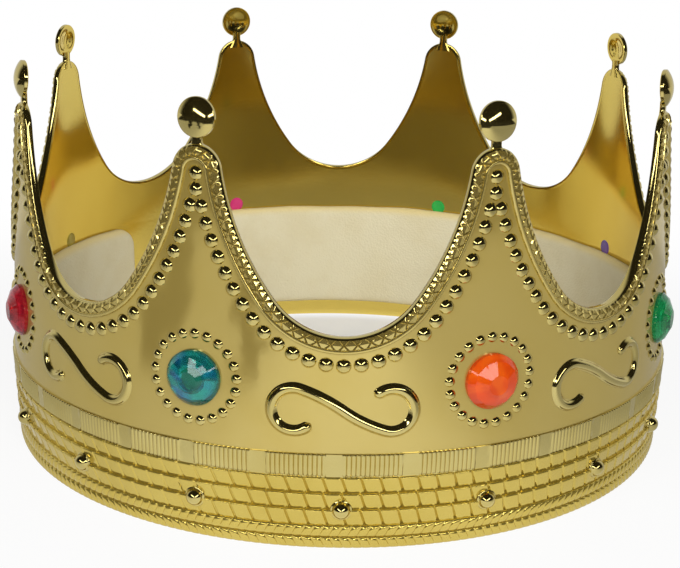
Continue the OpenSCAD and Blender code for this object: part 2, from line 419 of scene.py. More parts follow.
link_r = (SCROLL_REACH**2 - HOOK_R**2) / (2 * (SCROLL_REACH * math.sin(SCROLL_SLOPE) - HOOK_R))
link_c = link_r * np.array([math.sin(SCROLL_SLOPE), math.cos(SCROLL_SLOPE)])
hook_c = np.array([SCROLL_REACH, 0])
link_from = 1.5 * math.pi - SCROLL_SLOPE
hook_from = 2 * math.pi + math.atan2(hook_c[1] - link_c[1], hook_c[0] - link_c[0])


def arc(centre, r, start, end, n):
    """Points on an arc, as distances along the wall and heights."""
    a = np.linspace(start, end, n)
    return centre + r * np.stack([np.cos(a), np.sin(a)], -1)


half_line = np.concatenate([arc(link_c, link_r, link_from, hook_from, LINK_STEPS)[:-1],
                            arc(hook_c, HOOK_R, hook_from, 2 * math.pi + HOOK_END, HOOK_STEPS)])
line = np.concatenate([-half_line[:0:-1], half_line])
heading = np.gradient(line, axis=0)
heading /= np.linalg.norm(heading, axis=1)[:, None]
sideways = np.stack([-heading[:, 1], heading[:, 0]], -1)
run = np.concatenate([[0], np.cumsum(np.linalg.norm(np.diff(line, axis=0), axis=1))])
print(f"a scroll's line is {run[-1]:.1f} mm long")

# %% Scrolls
SCROLL_Z, SCROLL_D, BAR_SUNK, LEAST_TIP = 37.1, 2.6, 0.3, 0.02
SCROLL_FOOT = [(1.6, -0.35), (1.52, 0.0), (1.34, 0.1)]
BAR_ARC = np.radians(np.linspace(24, 156, 11))

bar = SCROLL_D / 2
to_tip = np.minimum(run, run[-1] - run) / bar
fullness = np.sqrt(np.clip(1 - (1 - np.clip(to_tip, LEAST_TIP, 1)) ** 2, 0, 1))
round_top = [(bar * math.cos(a), bar * math.sin(a) - BAR_SUNK) for a in BAR_ARC]
section = SCROLL_FOOT + round_top + [(-side, up) for side, up in reversed(SCROLL_FOOT)]
across, height = np.array(section).T
spot_s = line[:, :1] + sideways[:, :1] * across * fullness[:, None]
spot_z = line[:, 1:] + sideways[:, 1:] * across * fullness[:, None]
lift = np.where(height > 0, height * fullness[:, None], height)
scroll_shells = []
for p in range(POINTS):
    z = SCROLL_Z + spot_z
    verts = place(p * PITCH + degrees_of(spot_s), wall_at(z) + lift, z)
    scroll_shells.append((verts, tube_faces(*verts.shape[:2])))
scrolls = make_piece("scrolls", scroll_shells, sharp_angle=60)

# %% [markdown]
# ## The band
# The band has two twisted cords at its foot, three rows of slanting tiles above them, and a strip of fine
# ribs in groups at the top. In each row the columns follow the pattern, also where it slants, so every
# crease is a clean line of vertices. Displacing an even mesh would need many more points and would still
# blur the creases.

# %% Twisted cords
STRANDS, STRAND_COLUMNS, CORD_ROWS, STRAND_SLANT = 256, 8, 9, 0.62
STRAND_ROUND, CORD_ROUND, CORD_CORE, CORD_STRAND = 0.5, 0.7, 0.55, 0.45
CORD_BACK, CORD_BACK_INSET = 0.7, 0.2


def cord_row(z0, slant):
    """A ring of slanting strands on a round cord that starts at the height z0."""
    a = np.linspace(0, math.pi, CORD_ROWS)
    share = (1 - np.cos(a)) / 2
    k = np.arange(STRANDS * STRAND_COLUMNS)
    round_of = np.abs(np.sin(np.pi * k / STRAND_COLUMNS)) ** STRAND_ROUND
    z = z0 + TWIST_H * share
    turn = (k[:, None] / STRAND_COLUMNS + slant * (share - 0.5)) * 360 / STRANDS
    r = band_at(z) + LEDGE * np.sin(a) ** CORD_ROUND * (CORD_CORE + CORD_STRAND * round_of[:, None])
    back = np.full((len(k), 1), band_at(z0) - CORD_BACK)
    r = np.hstack([r, back, back])
    turn = np.hstack([turn, turn[:, -1:], turn[:, :1]])
    z = np.hstack([z, z0 + TWIST_H - CORD_BACK_INSET, z0 + CORD_BACK_INSET])
    verts = place(turn, r, z)
    return verts, ring_faces(*verts.shape[:2])


cords = [cord_row(0, -STRAND_SLANT), cord_row(TWIST_H, STRAND_SLANT)]
twisted_cords = make_piece("twisted_cords", cords, sharp_angle=70)

# %% [markdown]
# Each tile leans out towards its top and ends there in a small ledge. The creases between tiles slant to
# the right on the way down, and cut through the ledge, which is what makes it sparkle.

# %% Slanting tiles
TILES, TILE_SLANT, TILE_BACK = 128, 0.28, 0.8
TILE_COLUMNS = [(0.0, -0.42), (0.03, -0.34), (0.065, -0.06), (0.1, 0.03), (0.2, 0.01),
                (0.5, 0.0), (0.8, 0.01), (0.9, 0.03), (0.935, -0.06), (0.97, -0.34)]
TILE_ROWS = [(0.0, 0.0), (0.2, 0.21), (0.5, 0.53), (0.8, 0.86), (0.91, 0.98), (0.955, 0.91), (0.988, 0.73),
             (1.0, 0.48), (1.0, 0.25)]


def tile_row(z0):
    """A ring of tiles that starts at the height z0."""
    at, crease = np.array(TILE_COLUMNS).T
    cell = (np.arange(TILES)[:, None] + at).ravel()
    crease = np.tile(crease, TILES)
    share, out = np.array(TILE_ROWS).T
    z = z0 + ROW_H * share
    turn = (cell[:, None] + TILE_SLANT * (1 - share)) * 360 / TILES
    r = band_at(z) + LEDGE * out + crease[:, None]
    back = np.full((len(cell), 1), band_at(z0) - TILE_BACK)
    r = np.hstack([r, back, back])
    turn = np.hstack([turn, turn[:, -1:], turn[:, :1]])
    z = np.hstack([z, z0 + ROW_H, z0])
    verts = place(turn, r, z)
    return verts, ring_faces(*verts.shape[:2])


tile_rows = [tile_row(2 * TWIST_H + i * ROW_H) for i in range(CHEQUERED_ROWS)]
slanting_tiles = make_piece("slanting_tiles", tile_rows, sharp_angle=32)

# %% [markdown]
# The ribs come in groups with a plain gap between them. They stand on a strip that leans out a little, and
# stop short of its two edges.

# %% Ribbed strip
RIB_GROUPS, RIBS, RIB_COLUMNS, GAP_COLUMNS, RIB_SHARE, RIB_RISE = 32, 13, 6, 4, 0.80, 0.36
RIB_ROWS = [(0.0, 0), (0.05, 0), (0.09, 1), (0.5, 1), (0.93, 1), (0.985, 0.75), (1.0, 0.3)]
STRIP_BACK = [(-0.05, BAND_H + 0.02), (-0.8, BAND_H - 0.1), (-0.8, BAND_H - RIB_H)]

rib_k = np.arange(RIBS * RIB_COLUMNS)
rib_at = np.concatenate([rib_k * RIB_SHARE / len(rib_k), np.linspace(RIB_SHARE, 1, GAP_COLUMNS + 1)[:-1]])
rib_wave = np.concatenate([np.abs(np.sin(np.pi * rib_k / RIB_COLUMNS)), np.zeros(GAP_COLUMNS)])
cell = (np.arange(RIB_GROUPS)[:, None] + rib_at).ravel()
wave = np.tile(rib_wave, RIB_GROUPS)[:, None]
share, full = np.array(RIB_ROWS).T
strip_z = BAND_H - RIB_H + RIB_H * share
strip_r = WALL_R + RIB_LIP * share + RIB_RISE * full * wave
back_r, back_z = np.array(STRIP_BACK).T
strip_r = np.hstack([strip_r, np.ones((len(cell), 1)) * (WALL_R + back_r)])
strip_z = np.concatenate([strip_z, back_z])
verts = place(cell[:, None] * 360 / RIB_GROUPS, strip_r, strip_z)
ribbed_strip = make_piece("ribbed_strip", [(verts, ring_faces(*verts.shape[:2]))], sharp_angle=40)

# %% [markdown]
# Round studs sit on the tiles, under each stone and each valley. Each has a thin collar where it meets the
# band.

# %% Studs
STUD_D, STUDS, DOME_FROM = 4.6, 16, 0.12
STUD_COLLAR = [(0, -0.8), (2.75, -0.8), (2.72, 0.0), (2.6, 0.16), (2.4, 0.2)]

stud_z = 2 * TWIST_H + ROW_H
stud_out = band_at(stud_z) + LEDGE / 2
stud_arc = np.linspace(DOME_FROM, math.pi / 2, 9)[:-1]
stud_dome = [(STUD_D / 2 * math.cos(a), STUD_D / 2 * math.sin(a)) for a in stud_arc]
stud, stud_faces = turned([*STUD_COLLAR, *stud_dome, (0, STUD_D / 2)], segments=28)
stud_shells = [(set_on_wall(stud, i * 360 / STUDS, stud_out, stud_z), stud_faces) for i in range(STUDS)]
studs = make_piece("studs", stud_shells, sharp_angle=50)

# %% [markdown]
# ## Balls on the points
# What looks like a ball from the front is a low dome on a thin round plate, hollowed behind, on a flat
# neck. From the side it is only a few millimetres thick. The dome comes off the lathe and leans back a
# little, and the neck is a rounded bar that widens where it meets the point.

# %% Domed ball
DISH_R, DISH_DEPTH, DISC_RIM, BALL_LEAN = 3.3, 0.7, 0.15, math.radians(5)
DISH_RINGS, DOME_RINGS = (0.35, 0.7, 1.0), 15

dome_r = ((BALL_D / 2) ** 2 + DOME_H**2) / (2 * DOME_H)
dome_arc = np.linspace(math.asin(BALL_D / 2 / dome_r), 0, DOME_RINGS)
dome = [(dome_r * math.sin(a), DOME_H - dome_r * (1 - math.cos(a))) for a in dome_arc[:-1]]
dish = [(DISH_R * k, -DISC_T + DISH_DEPTH * (1 - k * k)) for k in DISH_RINGS]
plate_r = BALL_D / 2 + DISC_RIM
plate_edge = [(plate_r - 0.15, -DISC_T), (plate_r, -DISC_T + 0.2), (plate_r, -0.2), (plate_r - 0.12, -0.02)]
ball_profile = [(0, -DISC_T + DISH_DEPTH), *dish, *plate_edge, *dome, (0, DOME_H)]
upright_ball, ball_faces = turned(ball_profile, segments=48)
lean_cos, lean_sin = math.cos(BALL_LEAN), math.sin(BALL_LEAN)
ball = upright_ball @ np.array([[1, 0, 0], [0, lean_cos, -lean_sin], [0, lean_sin, lean_cos]])
print(f"a ball is {2 * plate_r:.1f} mm wide and {DISC_T + DOME_H:.1f} mm thick")

# %% Necks, and all points' tips
NECK_SIDES, NECK_SQUARE = 20, 0.5
NECK_LEVELS = [(-2.4, 2.6), (-0.6, 1.0), (0.05, 0.2), (0.5, 0.0), (1.3, 0.0), (2.0, 0.15), (2.7, 0.4)]

corner = 2 * np.pi * np.arange(NECK_SIDES) / NECK_SIDES
neck_x = np.sign(np.cos(corner)) * np.abs(np.cos(corner)) ** NECK_SQUARE
neck_y = np.sign(np.sin(corner)) * np.abs(np.sin(corner)) ** NECK_SQUARE
neck_depth = WALL_T / 2 * (neck_y - 1)
neck = np.concatenate([np.stack([(NECK_W + wide) / 2 * neck_x, np.full(NECK_SIDES, up), neck_depth], -1)
                       for up, wide in NECK_LEVELS])
neck_faces = tube_faces(len(NECK_LEVELS), NECK_SIDES)
tip_shells = []
for p in range(POINTS):
    at = (p + 0.5) * PITCH
    tip_shells.append((set_on_wall(ball, at, wall_at(BALL_Z), BALL_Z), ball_faces))
    tip_shells.append((set_on_wall(neck, at, wall_at(BALL_Z), ARCH_TOP), neck_faces))
point_balls = make_piece("point_balls", tip_shells, sharp_angle=30)

# %% [markdown]
# ## Stones
# Each stone is clear moulded acrylic: a low round foot, two rings of facets and a flat table. The hull of
# five rings of points gives exactly those facets, where cutting them from a ball would take many cuts.
# Every edge between facets is marked sharp, so they stay crisp. A peg goes through the wall, and its end
# shows inside the crown as a coloured dot.

# %% Stones
GIRDLE, MID_FACET, MID_HEIGHT, TABLE, GEM_SIDES = 0.32, 0.86, 0.66, 0.38, 12
FOOT, FOOT_BEVEL, FLANGE, ROUND_SIDES, FLAT_ENOUGH = 0.985, 0.25, 1.05, 36, 0.02
SEAT_SUNK, PEG_OUT, PEG_SIDES, PEG_END, PEG_BEVEL, PEG_HEAD = 0.15, 0.25, 24, 0.8, 0.2, 0.05

seat_r = wall_at(GEM_Z + GEM_D / 2) * math.cos(math.radians(degrees_of(GEM_D / 2))) - SEAT_SUNK
peg_r = inner_at(GEM_Z) - PEG_OUT


def gem_ring(share, height, sides, turn=0.0):
    """A ring of points on a stone, at a share of its radius and a height over its seat."""
    a = 2 * np.pi * (np.arange(sides) + turn) / sides
    r = share * GEM_D / 2
    return np.stack([r * np.cos(a), r * np.sin(a), np.full(sides, height)], -1)


def make_gem(node, angle):
    """A stone and its peg, in place of one of the solids."""
    points = np.concatenate([
        gem_ring(FOOT, 0, ROUND_SIDES), gem_ring(FLANGE, FOOT_BEVEL, ROUND_SIDES),
        gem_ring(FLANGE, GIRDLE * GEM_H, ROUND_SIDES), gem_ring(MID_FACET, MID_HEIGHT * GEM_H, GEM_SIDES),
        gem_ring(TABLE, GEM_H, GEM_SIDES, turn=0.5)])
    work = bmesh.new()
    for p in set_on_wall(points, angle, seat_r, GEM_Z):
        work.verts.new(p)
    bmesh.ops.convex_hull(work, input=work.verts)
    bmesh.ops.dissolve_limit(work, angle_limit=FLAT_ENOUGH, verts=work.verts, edges=work.edges)
    verts = np.array([v.co for v in work.verts])
    work.verts.index_update()
    faces = [[v.index for v in f.verts] for f in work.faces]
    work.free()
    depth = seat_r - peg_r
    peg, peg_faces = turned([(0, -depth), (PEG_END * PEG_D / 2, -depth), (PEG_D / 2, PEG_BEVEL - depth),
                             (PEG_D / 2, -PEG_HEAD), (0, -PEG_HEAD)], PEG_SIDES)
    shells = [(verts, faces), (set_on_wall(peg, angle, seat_r, GEM_Z), peg_faces)]
    gem = make_piece(node + "_stone", shells, sharp_angle=12)
    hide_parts(node)
    return gem


GEM_NODES = ["gem_front_right", "gem_right", "gem_right_rear", "gem_rear_right",
             "gem_rear_left", "gem_left_rear", "gem_left", "gem_front_left"]
gems = {node: make_gem(node, (i + 0.5) * PITCH) for i, node in enumerate(GEM_NODES)}

# %% [markdown]
# A low ring of bright foil lies inside each stone, just over its foot, and throws the light back through
# the facets. Without it a clear stone would only show the gold behind it.

# %% Foil
FOIL = [(0.38, 0.1), (0.93, 0.2), (0.93, 0.42), (0.5, 1.5), (0.38, 1.2)]

foil_rings = np.stack([gem_ring(share, height, GEM_SIDES) for share, height in FOIL], 1).reshape(-1, 3)
foil_faces = ring_faces(GEM_SIDES, len(FOIL))
foil_shells = [(set_on_wall(foil_rings, (p + 0.5) * PITCH, seat_r, GEM_Z), foil_faces) for p in range(POINTS)]
stone_foils = make_piece("stone_foils", foil_shells, sharp_angle=5)

# %% [markdown]
# ## The foam sweatband
# The strip of foam is soft: its face is a little crowned, its edges are rounded, and it waves slightly
# where it was pressed on by hand. A cloth simulation suits loose pads, but this strip is glued flat to the
# wall, so a few slow waves along it say more. Its two ends leave a gap at the left rear.

# %% Run of the foam
FOAM_COLUMNS, END_COLUMNS, FOAM_CORNER = 320, 14, 7.0

from_end = FOAM_CORNER * (1 - np.cos(np.linspace(0, math.pi / 2, END_COLUMNS)))
foam_run = math.radians(360 - FOAM_GAP) * INNER_R
along_foam = np.concatenate([from_end, np.linspace(FOAM_CORNER, foam_run - FOAM_CORNER, FOAM_COLUMNS)[1:-1],
                             foam_run - from_end[::-1]])
foam_turn = FOAM_OPEN_AT + FOAM_GAP / 2 + np.degrees(along_foam / INNER_R)
to_end = np.minimum(along_foam, foam_run - along_foam)[:, None]
print(f"the foam is {foam_run:.0f} mm long")

# %% Foam sweatband
FOAM_SECTION = [(0.0, 0.004), (0.35, 0.0), (0.72, 0.008), (0.93, 0.035), (0.985, 0.08), (1.0, 0.2),
                (1.02, 0.35), (1.03, 0.5), (1.02, 0.65), (1.0, 0.8), (0.985, 0.92), (0.93, 0.965),
                (0.72, 0.992), (0.35, 1.0), (0.0, 0.996), (0.0, 0.75), (0.0, 0.5), (0.0, 0.25)]
WAVES = [(0.25, 5, 0.6), (0.18, 13, 2), (0.1, 29, 0)]
GLUE_GAP, SWELL, RIPPLE, WAVE_AXIS, END_THIN, END_ROUND = 0.1, 0.03, 0.02, 0.3, 0.6, 1.5


def quarter_round(share):
    """Rises like a quarter of a circle, from 0 to 1."""
    return np.sqrt(1 - (1 - np.clip(share, 0, 1)) ** 2)


depth, level = np.array(FOAM_SECTION).T
a = np.radians(foam_turn)[:, None]
swell = 1 + SWELL * np.sin(9 * a + 1) * np.sin(23 * a) + RIPPLE * np.sin(31 * a + 6 * level)
sway = sum(size * np.sin(count * a + phase) for size, count, phase in WAVES)
thin = END_THIN + (1 - END_THIN) * quarter_round(to_end / END_ROUND)
cut = FOAM_CORNER * (1 - quarter_round(to_end / FOAM_CORNER))
foam_r = INNER_R - GLUE_GAP - FOAM_T * depth * swell * thin
foam_z = FOAM_Z + cut + (FOAM_H - 2 * cut) * level + sway * (level - WAVE_AXIS)
verts = place(foam_turn[:, None], foam_r, foam_z)
foam_sweatband = make_piece("foam_strip", [(verts, tube_faces(*verts.shape[:2]))], sharp_angle=70)
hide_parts("foam_sweatband")

# %% [markdown]
# ## Shader maths
# A material is a graph of nodes, but formulas are easier to read. One small class wraps a node's output, so
# that plus, minus and times add Math nodes. One method makes any other node: its type, its settings, then
# its inputs.

# %% Wires
class Wire:
    """An output of a shader node that can be used in sums."""

    def __init__(self, tree, node=None, output=0):
        self.tree, self.node, self.output = tree, node, output

    def add(self, kind, settings=None, inputs=None, output=0):
        """A new node of any kind. Inputs are values or other wires."""
        node = self.tree.nodes.new(kind)
        for name, value in (settings or {}).items():
            setattr(node, name, value)
        for name, value in (inputs or {}).items():
            if isinstance(value, Wire):
                self.tree.links.new(value.node.outputs[value.output], node.inputs[name])
            else:
                node.inputs[name].default_value = value
        return Wire(self.tree, node, output)

    def out(self, output):
        """Another output of the same node."""
        return Wire(self.tree, self.node, output)

    def math(self, operation, a, b):
        return self.add("ShaderNodeMath", {"operation": operation}, {0: a, 1: b})

    def __add__(self, other):
        return self.math("ADD", self, other)

    def __sub__(self, other):
        return self.math("SUBTRACT", self, other)

    def __rsub__(self, other):
        return self.math("SUBTRACT", other, self)

    def __mul__(self, other):
        return self.math("MULTIPLY", self, other)

    __radd__, __rmul__ = __add__, __mul__


def new_material(name):
    """An empty material, and a wire to start its graph from."""
    material = bpy.data.materials.new(name)
    material.use_nodes = True
    material.node_tree.nodes.clear()
    return material, Wire(material.node_tree)


def blend_colour(wire, factor, a, b):
    """Colour a where the factor is 0, and b where it is 1."""
    return wire.add("ShaderNodeMix", {"data_type": "RGBA"}, {"Factor": factor, 6: a, 7: b}, 2)


def smooth(wire, value, low, high):
    """A soft step from 0 at low to 1 at high."""
    return wire.add("ShaderNodeMapRange", {"interpolation_type": "SMOOTHSTEP"},
                    {"Value": value, "From Min": low, "From Max": high})


print("shader helpers ready")

# %% [markdown]
# ## Gold coating
# The coating is a film of metal on smooth plastic, so it mirrors like metal. Raised work was polished in
# the mould, so the mirror of the beads, the ribs, the scrolls and the lip is sharp. The wall has a milky
# veil over the mirror, and the band and the border have a thinner one: a second, matt shader mixed in. One
# shiny metal all over would be simpler, but then the wall would look as hard as the beads. The moulding is
# not quite true either, and a slow bump bends what it mirrors. Inside the crown the gold is hardly veiled,
# and it is painted brighter and yellower: painted light for the bright reflected light inside the crown.

# %% Gold coating
INSIDE_STEP, HANDLED_STEP, VEIL_LOST, STRETCH = (-0.3, -0.7), (0.35, 0.75), 0.95, (1, 1, 0.35)
WAVE_HEIGHT, SKIN_SHARE, HANDLED_GRAIN, INSIDE_GRAIN = 0.0012, 0.005, 0.05, 0.04
# Painted light: a brighter, yellower gold for faces inside the crown, standing in for the light reflected
# there
PAINTED_LIGHT_INSIDE_GOLD = (0.80, 0.61, 0.14, 1)
PALE_GOLD = [(0.62, 0.52, 0.20, 1), (0.57, 0.46, 0.15, 1), (0.46, 0.33, 0.065, 1)]
WARM_GOLD = [(0.63, 0.50, 0.13, 1), (0.57, 0.44, 0.10, 1), (0.57, 0.41, 0.06, 1)]


def gold_coating(name, colours, haze, grain, waves):
    """A mirror of a given grain, with a share of matt veil, bent by waves."""
    light, deep, veil_colour = colours
    material, w = new_material(name)
    spot = w.add("ShaderNodeNewGeometry", output="Position")
    normal = spot.out("Normal")
    flatten = w.add("ShaderNodeVectorMath", {"operation": "MULTIPLY"}, {0: spot, 1: (1, 1, 0)})
    outwards = w.add("ShaderNodeVectorMath", {"operation": "NORMALIZE"}, {0: flatten})
    facing = w.add("ShaderNodeVectorMath", {"operation": "DOT_PRODUCT"}, {0: outwards, 1: normal}, "Value")
    inside = smooth(w, facing, *INSIDE_STEP)
    cloud = w.add("ShaderNodeTexNoise", None, {
        "Vector": spot, "Scale": 45.0, "Detail": 4.0, "Roughness": 0.6})
    stretched = w.add("ShaderNodeVectorMath", {"operation": "MULTIPLY"}, {0: spot, 1: STRETCH})
    wobble = w.add("ShaderNodeTexNoise", None, {"Vector": stretched, "Scale": 32.0, "Detail": 0.0})
    skin = w.add("ShaderNodeTexNoise", None, {"Vector": spot, "Scale": 900.0, "Detail": 2.0})
    handled = smooth(w, cloud, *HANDLED_STEP)
    # Faces inside the crown get the painted-light gold, brighter and yellower than outside
    colour = blend_colour(w, inside, blend_colour(w, handled, light, deep), PAINTED_LIGHT_INSIDE_GOLD)
    bump = w.add("ShaderNodeBump", None, {
        "Strength": waves, "Distance": WAVE_HEIGHT, "Height": wobble + SKIN_SHARE * skin})
    roughness = grain + HANDLED_GRAIN * handled + INSIDE_GRAIN * inside
    mirror = w.add("ShaderNodeBsdfPrincipled", None, {
        "Base Color": colour, "Metallic": 1.0, "Roughness": roughness, "Normal": bump})
    veil = w.add("ShaderNodeBsdfPrincipled", None, {
        "Base Color": veil_colour, "Metallic": 0.0, "Roughness": 0.5, "Normal": bump})
    shader = w.add("ShaderNodeMixShader", None, {0: haze * (1 - VEIL_LOST * inside), 1: mirror, 2: veil})
    w.add("ShaderNodeOutputMaterial", None, {"Surface": shader})
    return material


print("gold coating ready")

# %% [markdown]
# The border is in two lists: its first material is the satin one, and its second is the polished one for
# the lip.

# %% Coated pieces
coatings = {
    gold_coating("gold_wall", PALE_GOLD, haze=0.40, grain=0.07, waves=1.0): [crown_wall],
    gold_coating("gold_band", WARM_GOLD, haze=0.22, grain=0.05, waves=0.2): [twisted_cords, slanting_tiles],
    gold_coating("gold_border", PALE_GOLD, haze=0.20, grain=0.05, waves=0.2): [braided_border],
    gold_coating("gold_beads", PALE_GOLD, haze=0.02, grain=0.06, waves=0.2): [
        braided_border, ribbed_strip, edge_beads, ring_beads, scrolls, studs, point_balls]}
for coating, pieces in coatings.items():
    for obj in pieces:
        obj.data.materials.append(coating)
    print(coating.name, "on", len(pieces), "piece(s)")

# %% [markdown]
# ## Clear coloured acrylic
# The stones let light through to the gold behind them, so they are mostly transmission with a saturated
# colour. Faint streaks from moulding vary the colour and the roughness a little. Each stone has two
# colours, which the streaks mix, and a share of clearness: some are milky, and others are almost clear.

# %% Stones' material
GEM_COLOURS = {
    "gem_front_right": [(0.93, 0.13, 0.008), (0.84, 0.08, 0.006), 0.45],
    "gem_right": [(0.02, 0.50, 0.15), (0.02, 0.36, 0.14), 0.8],
    "gem_right_rear": [(0.20, 0.12, 0.55), (0.26, 0.10, 0.48), 0.45],
    "gem_rear_right": [(0.05, 0.66, 0.12), (0.04, 0.55, 0.10), 0.45],
    "gem_rear_left": [(0.95, 0.07, 0.30), (0.88, 0.05, 0.26), 0.45],
    "gem_left_rear": [(0.52, 0.43, 0.05), (0.44, 0.35, 0.04), 0.45],
    "gem_left": [(0.72, 0.025, 0.035), (0.50, 0.015, 0.04), 0.8],
    "gem_front_left": [(0.02, 0.38, 0.31), (0.012, 0.17, 0.43), 0.85]}


def acrylic(node, colour, second, clear):
    """Clear plastic for one stone, streaked in two colours."""
    material, w = new_material(node + "_acrylic")
    spot = w.add("ShaderNodeNewGeometry", output="Position")
    streak = w.add("ShaderNodeTexNoise", None, {
        "Vector": spot, "Scale": 130.0, "Detail": 2.0, "Distortion": 0.8})
    shade = blend_colour(w, smooth(w, streak, 0.4, 0.6), colour + (1,), second + (1,))
    shader = w.add("ShaderNodeBsdfPrincipled", None, {
        "Base Color": shade, "Roughness": 0.02 + 0.03 * streak, "IOR": 1.49, "Transmission Weight": clear,
        "Specular IOR Level": 0.35})
    w.add("ShaderNodeOutputMaterial", None, {"Surface": shader})
    return material


for node, look in GEM_COLOURS.items():
    gems[node].data.materials.append(acrylic(node, *look))
print(len(GEM_COLOURS), "stones coloured")

# %% Foil's material
foil, w = new_material("bright_foil")
spot = w.add("ShaderNodeNewGeometry", output="Position")
crinkle = w.add("ShaderNodeTexNoise", None, {"Vector": spot, "Scale": 500.0, "Detail": 2.0})
bump = w.add("ShaderNodeBump", None, {"Strength": 0.3, "Distance": 0.0003, "Height": crinkle})
shader = w.add("ShaderNodeBsdfPrincipled", None, {
    "Base Color": (0.9, 0.89, 0.84, 1), "Metallic": 1.0, "Roughness": 0.12 + 0.08 * crinkle, "Normal": bump})
w.add("ShaderNodeOutputMaterial", None, {"Surface": shader})
stone_foils.data.materials.append(foil)
print("foil coloured")

# %% [markdown]
# ## Foam
# Closed-cell foam is matt and pale, a little mottled, with a fine pimpled skin. Its top and bottom edges are
# yellower. A flat colour would do from afar, but the mottling and the yellower edges are what make it look
# soft.

# %% Foam material
FOAM_PALE, FOAM_WARM, FOAM_EDGE = (0.68, 0.62, 0.43, 1), (0.65, 0.58, 0.38, 1), (0.68, 0.54, 0.22, 1)
TOP_DEEP, LOW_DEEP, TOP_YELLOW, LOW_YELLOW = 3.0, 2.0, 0.8, 0.5

foam, w = new_material("pale_foam")
spot = w.add("ShaderNodeNewGeometry", output="Position")
upwards = w.add("ShaderNodeSeparateXYZ", None, {0: spot}, "Z")
mottle = w.add("ShaderNodeTexNoise", None, {"Vector": spot, "Scale": 60.0, "Detail": 5.0, "Roughness": 0.65})
cells = w.add("ShaderNodeTexVoronoi", None, {"Vector": spot, "Scale": 1500.0})
colour = blend_colour(w, smooth(w, mottle, 0.38, 0.68), FOAM_PALE, FOAM_WARM)
top_edge = smooth(w, upwards, MM * (FOAM_TOP - TOP_DEEP), MM * FOAM_TOP)
low_edge = smooth(w, upwards, MM * (FOAM_Z + LOW_DEEP), MM * FOAM_Z)
colour = blend_colour(w, TOP_YELLOW * top_edge + LOW_YELLOW * low_edge, colour, FOAM_EDGE)
bump = w.add("ShaderNodeBump", None, {"Strength": 0.35, "Distance": 0.0004, "Height": cells + mottle})
shader = w.add("ShaderNodeBsdfPrincipled", None, {
    "Base Color": colour, "Roughness": 0.78 + 0.1 * mottle, "Normal": bump, "Specular IOR Level": 0.25})
w.add("ShaderNodeOutputMaterial", None, {"Surface": shader})
foam_sweatband.data.materials.append(foam)
print("foam coloured")

# %% [markdown]
# ## Floor and room
# A mirror shows its room, so the room is part of the look. The crown stands on a large white sheet with a
# white backdrop behind it, while the room in front and above is dark: that gives pale lower halves and dark
# upper halves to every bead.

# %% White sheet
SHEET_HALF = 6.0
SHEET_CORNERS = [(-1, -1), (1, -1), (1, 1), (-1, 1)]

mesh = bpy.data.meshes.new("white_sheet")
mesh.from_pydata([(SHEET_HALF * x, SHEET_HALF * y, 0) for x, y in SHEET_CORNERS], [], [(0, 1, 2, 3)])
sheet = bpy.data.objects.new("white_sheet", mesh)
bpy.context.scene.collection.objects.link(sheet)
print("white sheet laid")

# %% [markdown]
# The camera sees the sheet white all over, with a little of the crown's shadow at its foot and more inside
# it. Mirrors see it lit round the crown and behind it only. At both sides the light reaches further but is
# dimmer, and at the left its edge is ragged and two dark things stand on it, which give the smudges on the
# crown's left front. Real cards and stands would do the same, but a formula on the sheet is easier to move.
# Each pair named a step is where something starts and where it is full, in metres.

# %% Light on the sheet
LIT_STEP, DARK_STEP, SHADOW_STEP, CORE_STEP = (0.385, 0.335), (0.21, 0.25), (0.30, 0.12), (0.095, 0.085)
BACK_STEP, MIDDLE_STEP, LEFT_STEP, RIGHT_STEP = (0.1, 0.2), (0.03, 0.12), (-0.08, -0.16), (0.05, 0.15)
LEFT_RAGGED, LEFT_WIDER, RIGHT_WIDER = 0.3, 0.27, 0.15
SIDE_DIM, LEFT_DIM, RIGHT_DIM, BACK_LIT, UNLIT_LOSS = 0.4, 0.18, 0.34, 0.75, 0.98
DARK_THINGS, DARK_WANDER = [(-0.89, 0.10), (-0.45, 0.08)], 0.5
OUTER_SHADOW, INNER_SHADOW = 0.12, 0.74

paper, w = new_material("white_paper")
spot = w.add("ShaderNodeNewGeometry", output="Position")
reach = w.add("ShaderNodeVectorMath", {"operation": "LENGTH"}, {0: spot}, "Value")
ragged = w.add("ShaderNodeTexNoise", None, {"Vector": spot, "Scale": 15.0, "Detail": 3.0})
ray = w.add("ShaderNodeLightPath", output="Is Camera Ray")
mirrored = w.math("MAXIMUM", ray.out("Is Glossy Ray"), ray.out("Is Transmission Ray"))
seen = w.math("MAXIMUM", ray, mirrored)
to_right = w.add("ShaderNodeSeparateXYZ", None, {0: spot}, "X")
to_back = to_right.out("Y")
behind = smooth(w, to_back, *BACK_STEP)
off_middle = smooth(w, w.math("ABSOLUTE", to_right, 0), *MIDDLE_STEP)
left_side, right_side = smooth(w, to_right, *LEFT_STEP), smooth(w, to_right, *RIGHT_STEP)
edge = reach + (LEFT_RAGGED * ragged - LEFT_WIDER) * left_side - RIGHT_WIDER * right_side
dimmed = (1 - SIDE_DIM * off_middle) * (1 - RIGHT_DIM * right_side - LEFT_DIM * left_side)
bearing = w.math("ARCTAN2", to_right, 0 - to_back) + DARK_WANDER * (ragged - 0.5)
things = [smooth(w, w.math("ABSOLUTE", bearing - at, 0), wide, 0.5 * wide) for at, wide in DARK_THINGS]
dark = w.math("MAXIMUM", *things) * smooth(w, reach, *DARK_STEP)
in_front = smooth(w, edge, *LIT_STEP) * dimmed * (1 - dark)
lit = w.math("MAXIMUM", in_front, BACK_LIT * behind)
shown = 1 - mirrored * (1 - lit) * UNLIT_LOSS
shadow_share = OUTER_SHADOW * smooth(w, reach, *SHADOW_STEP) + INNER_SHADOW * smooth(w, reach, *CORE_STEP)
matt = w.add("ShaderNodeBsdfDiffuse", None, {"Color": (0.9, 0.9, 0.9, 1)})
